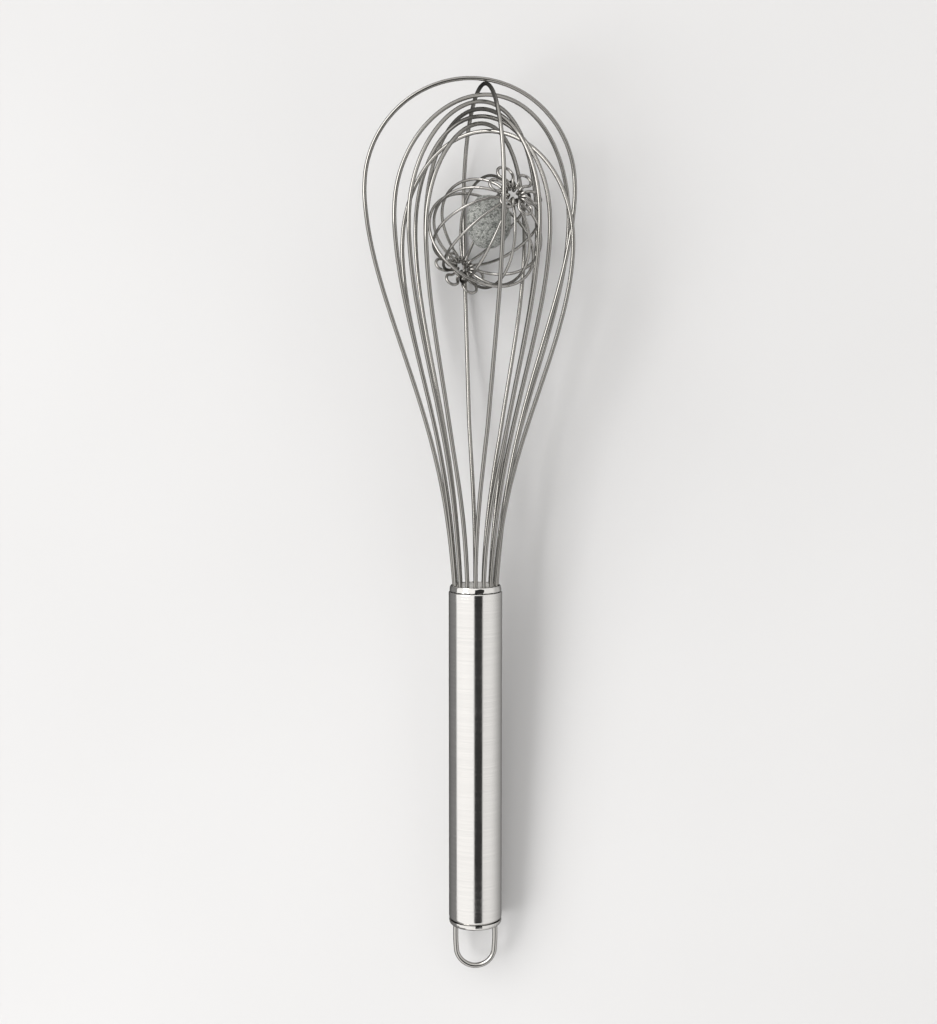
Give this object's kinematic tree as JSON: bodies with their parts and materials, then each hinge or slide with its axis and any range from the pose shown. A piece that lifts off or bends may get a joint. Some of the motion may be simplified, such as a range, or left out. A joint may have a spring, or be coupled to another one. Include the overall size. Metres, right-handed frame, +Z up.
{
  "type": "balloon whisk",
  "caption": "Balloon whisk with nested wire loops, a round steel handle with a hanging loop, and a loose wire ball cage that holds an agitator stone.",
  "frame": {"origin": "middle of the bounding box in plan, at the table surface under the lying whisk", "axes": "+Y from the handle's hanging loop to the balloon's tip, +X to the right seen from above with the balloon away, +Z up"},
  "size_m": [0.0724, 0.3072, 0.0684],
  "materials": {
    "satin_steel_tube": "satin",
    "polished_steel_collar": "polished",
    "polished_steel_cap": "polished",
    "hanging_loop_steel": "polished",
    "whisk_wire_steel": "drawn wire",
    "cage_wire_steel": "drawn wire",
    "binding_ring_steel": "drawn wire",
    "grey_neck_plug": "matte",
    "speckled_grey_stone": "matte speckled"
  },
  "bodies": {
    "whisk": {"handle_tube": "satin_steel_tube", "neck_collar": "polished_steel_collar", "neck_plug": "grey_neck_plug", "end_cap": "polished_steel_cap", "hanging_loop": "hanging_loop_steel", "whisk_loop_1": "whisk_wire_steel", "whisk_loop_2": "whisk_wire_steel", "whisk_loop_3": "whisk_wire_steel", "whisk_loop_4": "whisk_wire_steel", "whisk_loop_5": "whisk_wire_steel", "whisk_loop_6": "whisk_wire_steel", "whisk_loop_7": "whisk_wire_steel", "whisk_loop_8": "whisk_wire_steel"},
    "cage": {"cage_wire_1": "cage_wire_steel", "cage_wire_2": "cage_wire_steel", "cage_wire_3": "cage_wire_steel", "cage_wire_4": "cage_wire_steel", "cage_wire_5": "cage_wire_steel", "cage_wire_6": "cage_wire_steel", "cage_belt": "cage_wire_steel", "cage_ring_upper": "binding_ring_steel", "cage_ring_lower": "binding_ring_steel"},
    "stone": {"stone_ball": "speckled_grey_stone"}
  },
  "joints": [
    {"name": "cage_jump", "type": "slide", "parent": "whisk", "child": "cage", "axis": [0, 0, 1], "range_m": [0, 0.0182]},
    {"name": "stone_jump", "type": "slide", "parent": "cage", "child": "stone", "axis": [0, 0, 1], "range_m": [0, 0.0155]}
  ]
}
